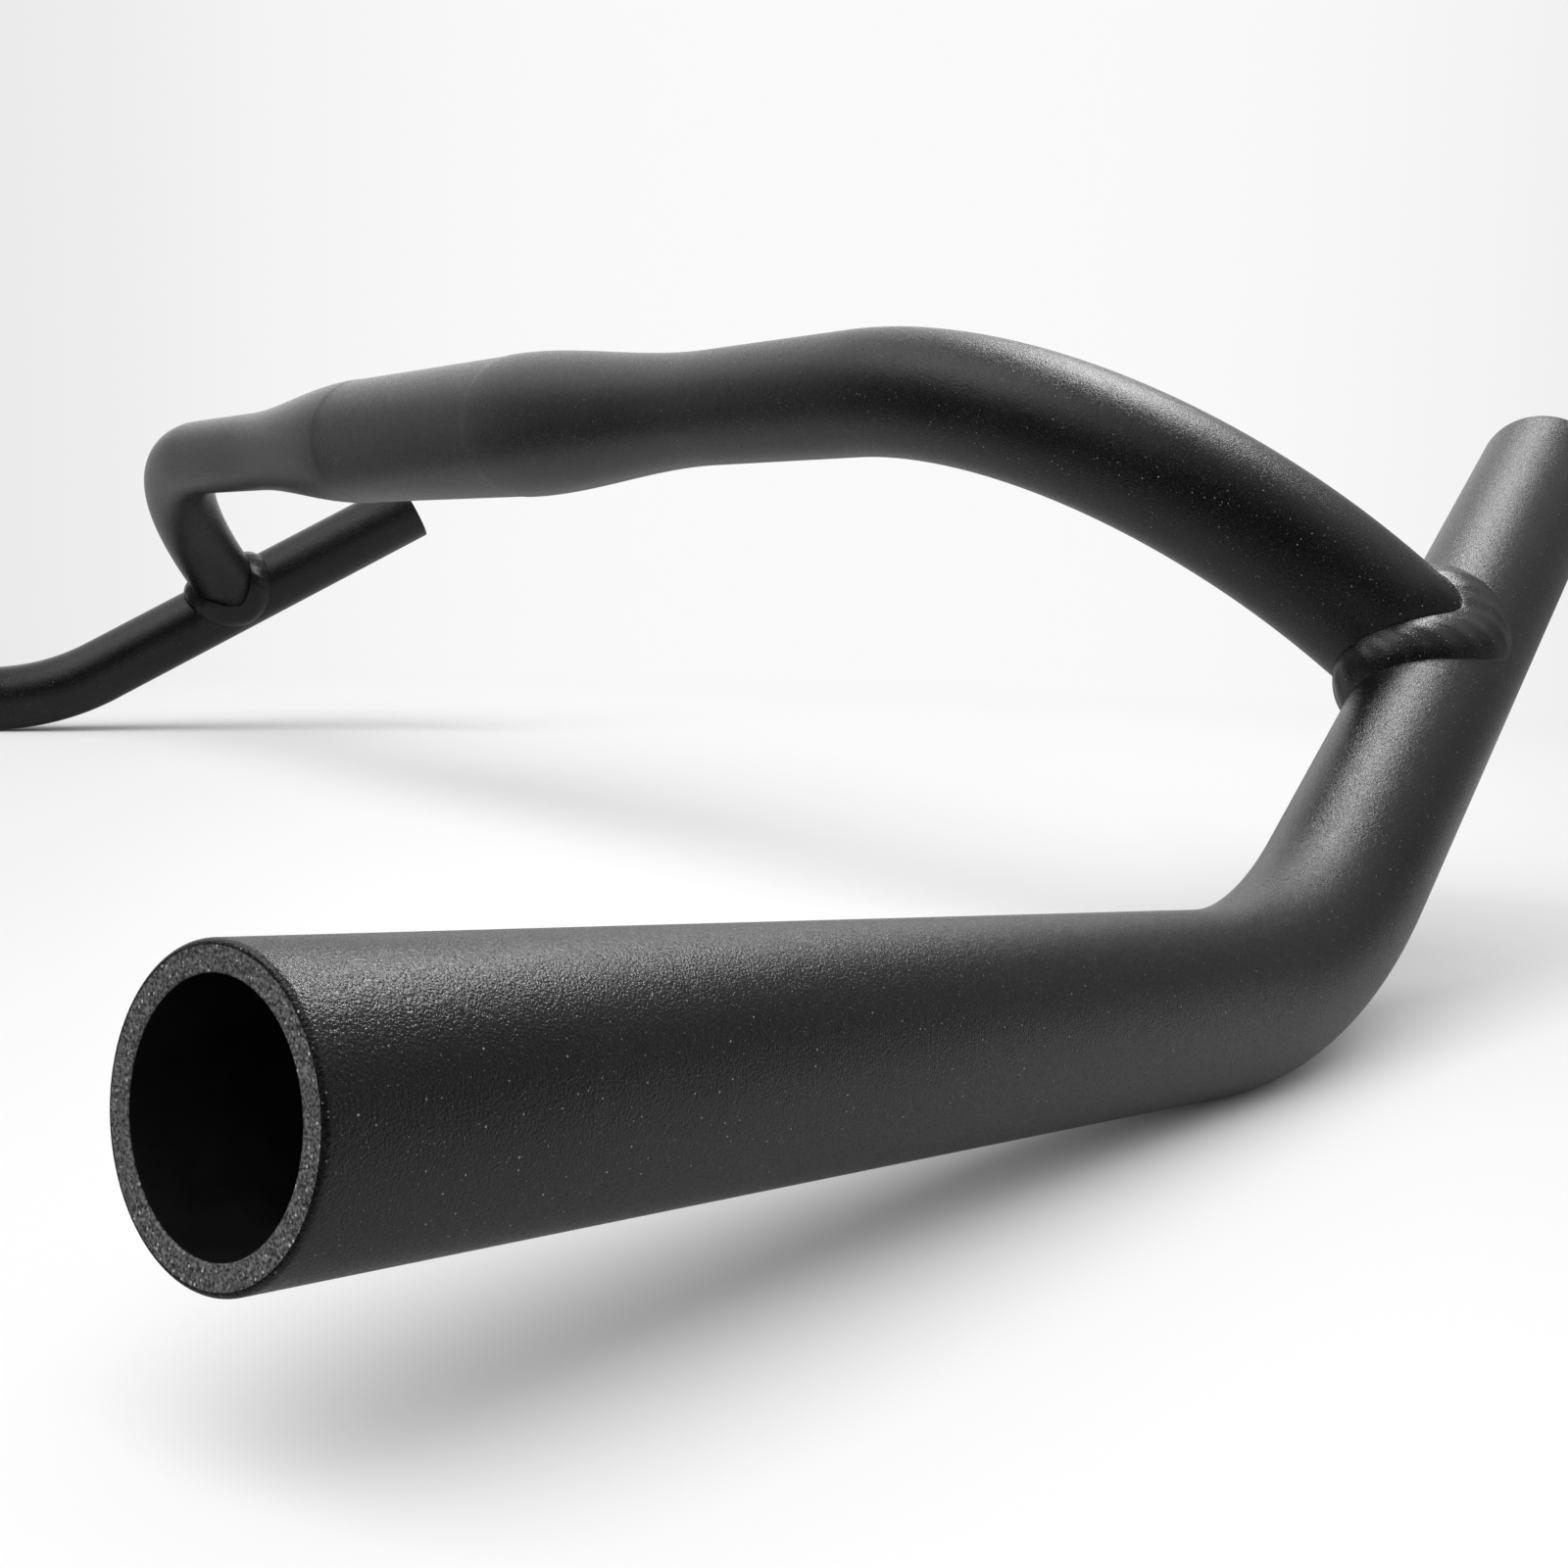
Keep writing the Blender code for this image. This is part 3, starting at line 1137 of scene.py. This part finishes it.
    def _sheet_tone(self, graph: NodeGraph, sight: bpy.types.NodeSocket) -> bpy.types.NodeSocket:
        """Work out the sheet's tone, a painted falloff of light: even near the front and falling off like
        the backdrop's behind.

        It belongs to the places on the sheet, so it stays put in other views.

        Args:
            graph: The tree that gets the nodes.
            sight: Socket with the place on the sheet, from the photographer's stand.

        Returns:
            The socket with the tone, which is darker where the coat reflects it, as painted shade in its
            reflections.
        """
        reach = graph.add("ShaderNodeVectorMath", operation="LENGTH")
        graph.link(sight, reach.inputs[0])
        onward = graph.remap(reach.outputs["Value"], self.near_start, self.near_end, 0.0, 1.0, smooth=True)
        change = graph.calculate("SUBTRACT", self._backdrop(graph, sight), self.near_tone)
        tone = graph.calculate("ADD", graph.calculate("MULTIPLY", change, onward), self.near_tone)
        tone = graph.calculate("MULTIPLY", tone, self.sheet_share)
        path = graph.add("ShaderNodeLightPath")
        return graph.choose(path.outputs["Is Glossy Ray"], tone, self.sheet_tone_in_coat)

    def _surroundings(self, graph: NodeGraph, direction: bpy.types.NodeSocket,
                      sight: bpy.types.NodeSocket) -> bpy.types.NodeSocket:
        """Work out how bright the studio is in a direction.

        Args:
            graph: The tree that gets the nodes.
            direction: Socket with the unit direction in the world.
            sight: Socket with the direction from the photographer's stand, of any length.

        Returns:
            The socket with the brightness, which is the backdrop's painted tone where it is looked at.
        """
        light = self.room_level
        for glow in self.glows:
            light = graph.calculate("ADD", glow.add_to(graph, direction), light)
        path = graph.add("ShaderNodeLightPath")
        light = graph.choose(path.outputs["Is Diffuse Ray"], light, self.even_light)
        looked_at = path.outputs["Is Camera Ray"]
        not_looked_at = graph.remap(looked_at, 0.0, 1.0, 1.0, 0.0)
        seen = graph.calculate("MULTIPLY", self._backdrop(graph, sight), looked_at)
        return graph.calculate("ADD", seen, graph.calculate("MULTIPLY", not_looked_at, light))

    def _backdrop(self, graph: NodeGraph, sight: bpy.types.NodeSocket) -> bpy.types.NodeSocket:
        """Work out the backdrop's tone, which falls off gently to both sides as a painted falloff of
        light.

        Args:
            graph: The tree that gets the nodes.
            sight: Socket with the direction from the photographer's stand, of any length.

        Returns:
            The socket with the tone.
        """
        level = graph.add("ShaderNodeVectorMath", {1: (1.0, 1.0, 0.0)}, operation="MULTIPLY")
        graph.link(sight, level.inputs[0])
        unit = graph.add("ShaderNodeVectorMath", operation="NORMALIZE")
        graph.link(level.outputs[0], unit.inputs[0])
        dot = graph.add("ShaderNodeVectorMath", {1: heading_direction(self.backdrop_middle, 0.0)},
                        operation="DOT_PRODUCT")
        graph.link(unit.outputs[0], dot.inputs[0])
        return graph.remap(dot.outputs["Value"], math.cos(math.radians(self.backdrop_spread)), 1.0,
                           self.backdrop_edge_tone, self.backdrop_tone, smooth=True)

    def _world(self) -> None:
        """Light the bar from the backdrop's side, with the room behind the camera dim."""
        world = bpy.data.worlds.new("studio_world")
        bpy.context.scene.world = world
        world.use_nodes = True
        graph = NodeGraph(world.node_tree)
        direction = graph.add("ShaderNodeTexCoord").outputs["Generated"]
        glow = graph.add("ShaderNodeBackground", {"Color": WHITE})
        graph.link(self._surroundings(graph, direction, direction), glow.inputs["Strength"])
        output = graph.add("ShaderNodeOutputWorld")
        graph.link(glow.outputs[0], output.inputs["Surface"])

    def _camera(self) -> None:
        """Stand the camera where the photograph was taken from."""
        data = bpy.data.cameras.new("photo_camera")
        data.lens = self.lens
        data.sensor_width = self.sensor_width
        data.clip_start, data.clip_end = self.clip_start, self.clip_end
        back = -Vector(self.camera_forward).normalized()
        right = Vector(self.camera_up).cross(back).normalized()
        turn = Matrix((right, back.cross(right), back)).transposed().to_4x4()
        camera = bpy.data.objects.new("photo_camera", data)
        camera.matrix_world = Matrix.Translation(self.camera_place) @ turn
        bpy.context.scene.collection.objects.link(camera)
        bpy.context.scene.camera = camera


def main() -> None:
    """Build every piece of the bar and the studio round it."""
    logging.basicConfig(level=logging.INFO, format="%(name)s: %(message)s")
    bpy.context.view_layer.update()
    layout, finishes = BarLayout(), Finishes.make()
    Studio().build()
    Crossbar(layout, finishes).build()
    for side in Side:
        SideTube(layout, finishes, side).build()
        WeldBead(layout, finishes, side).build()


if __name__ == "__main__":
    main()
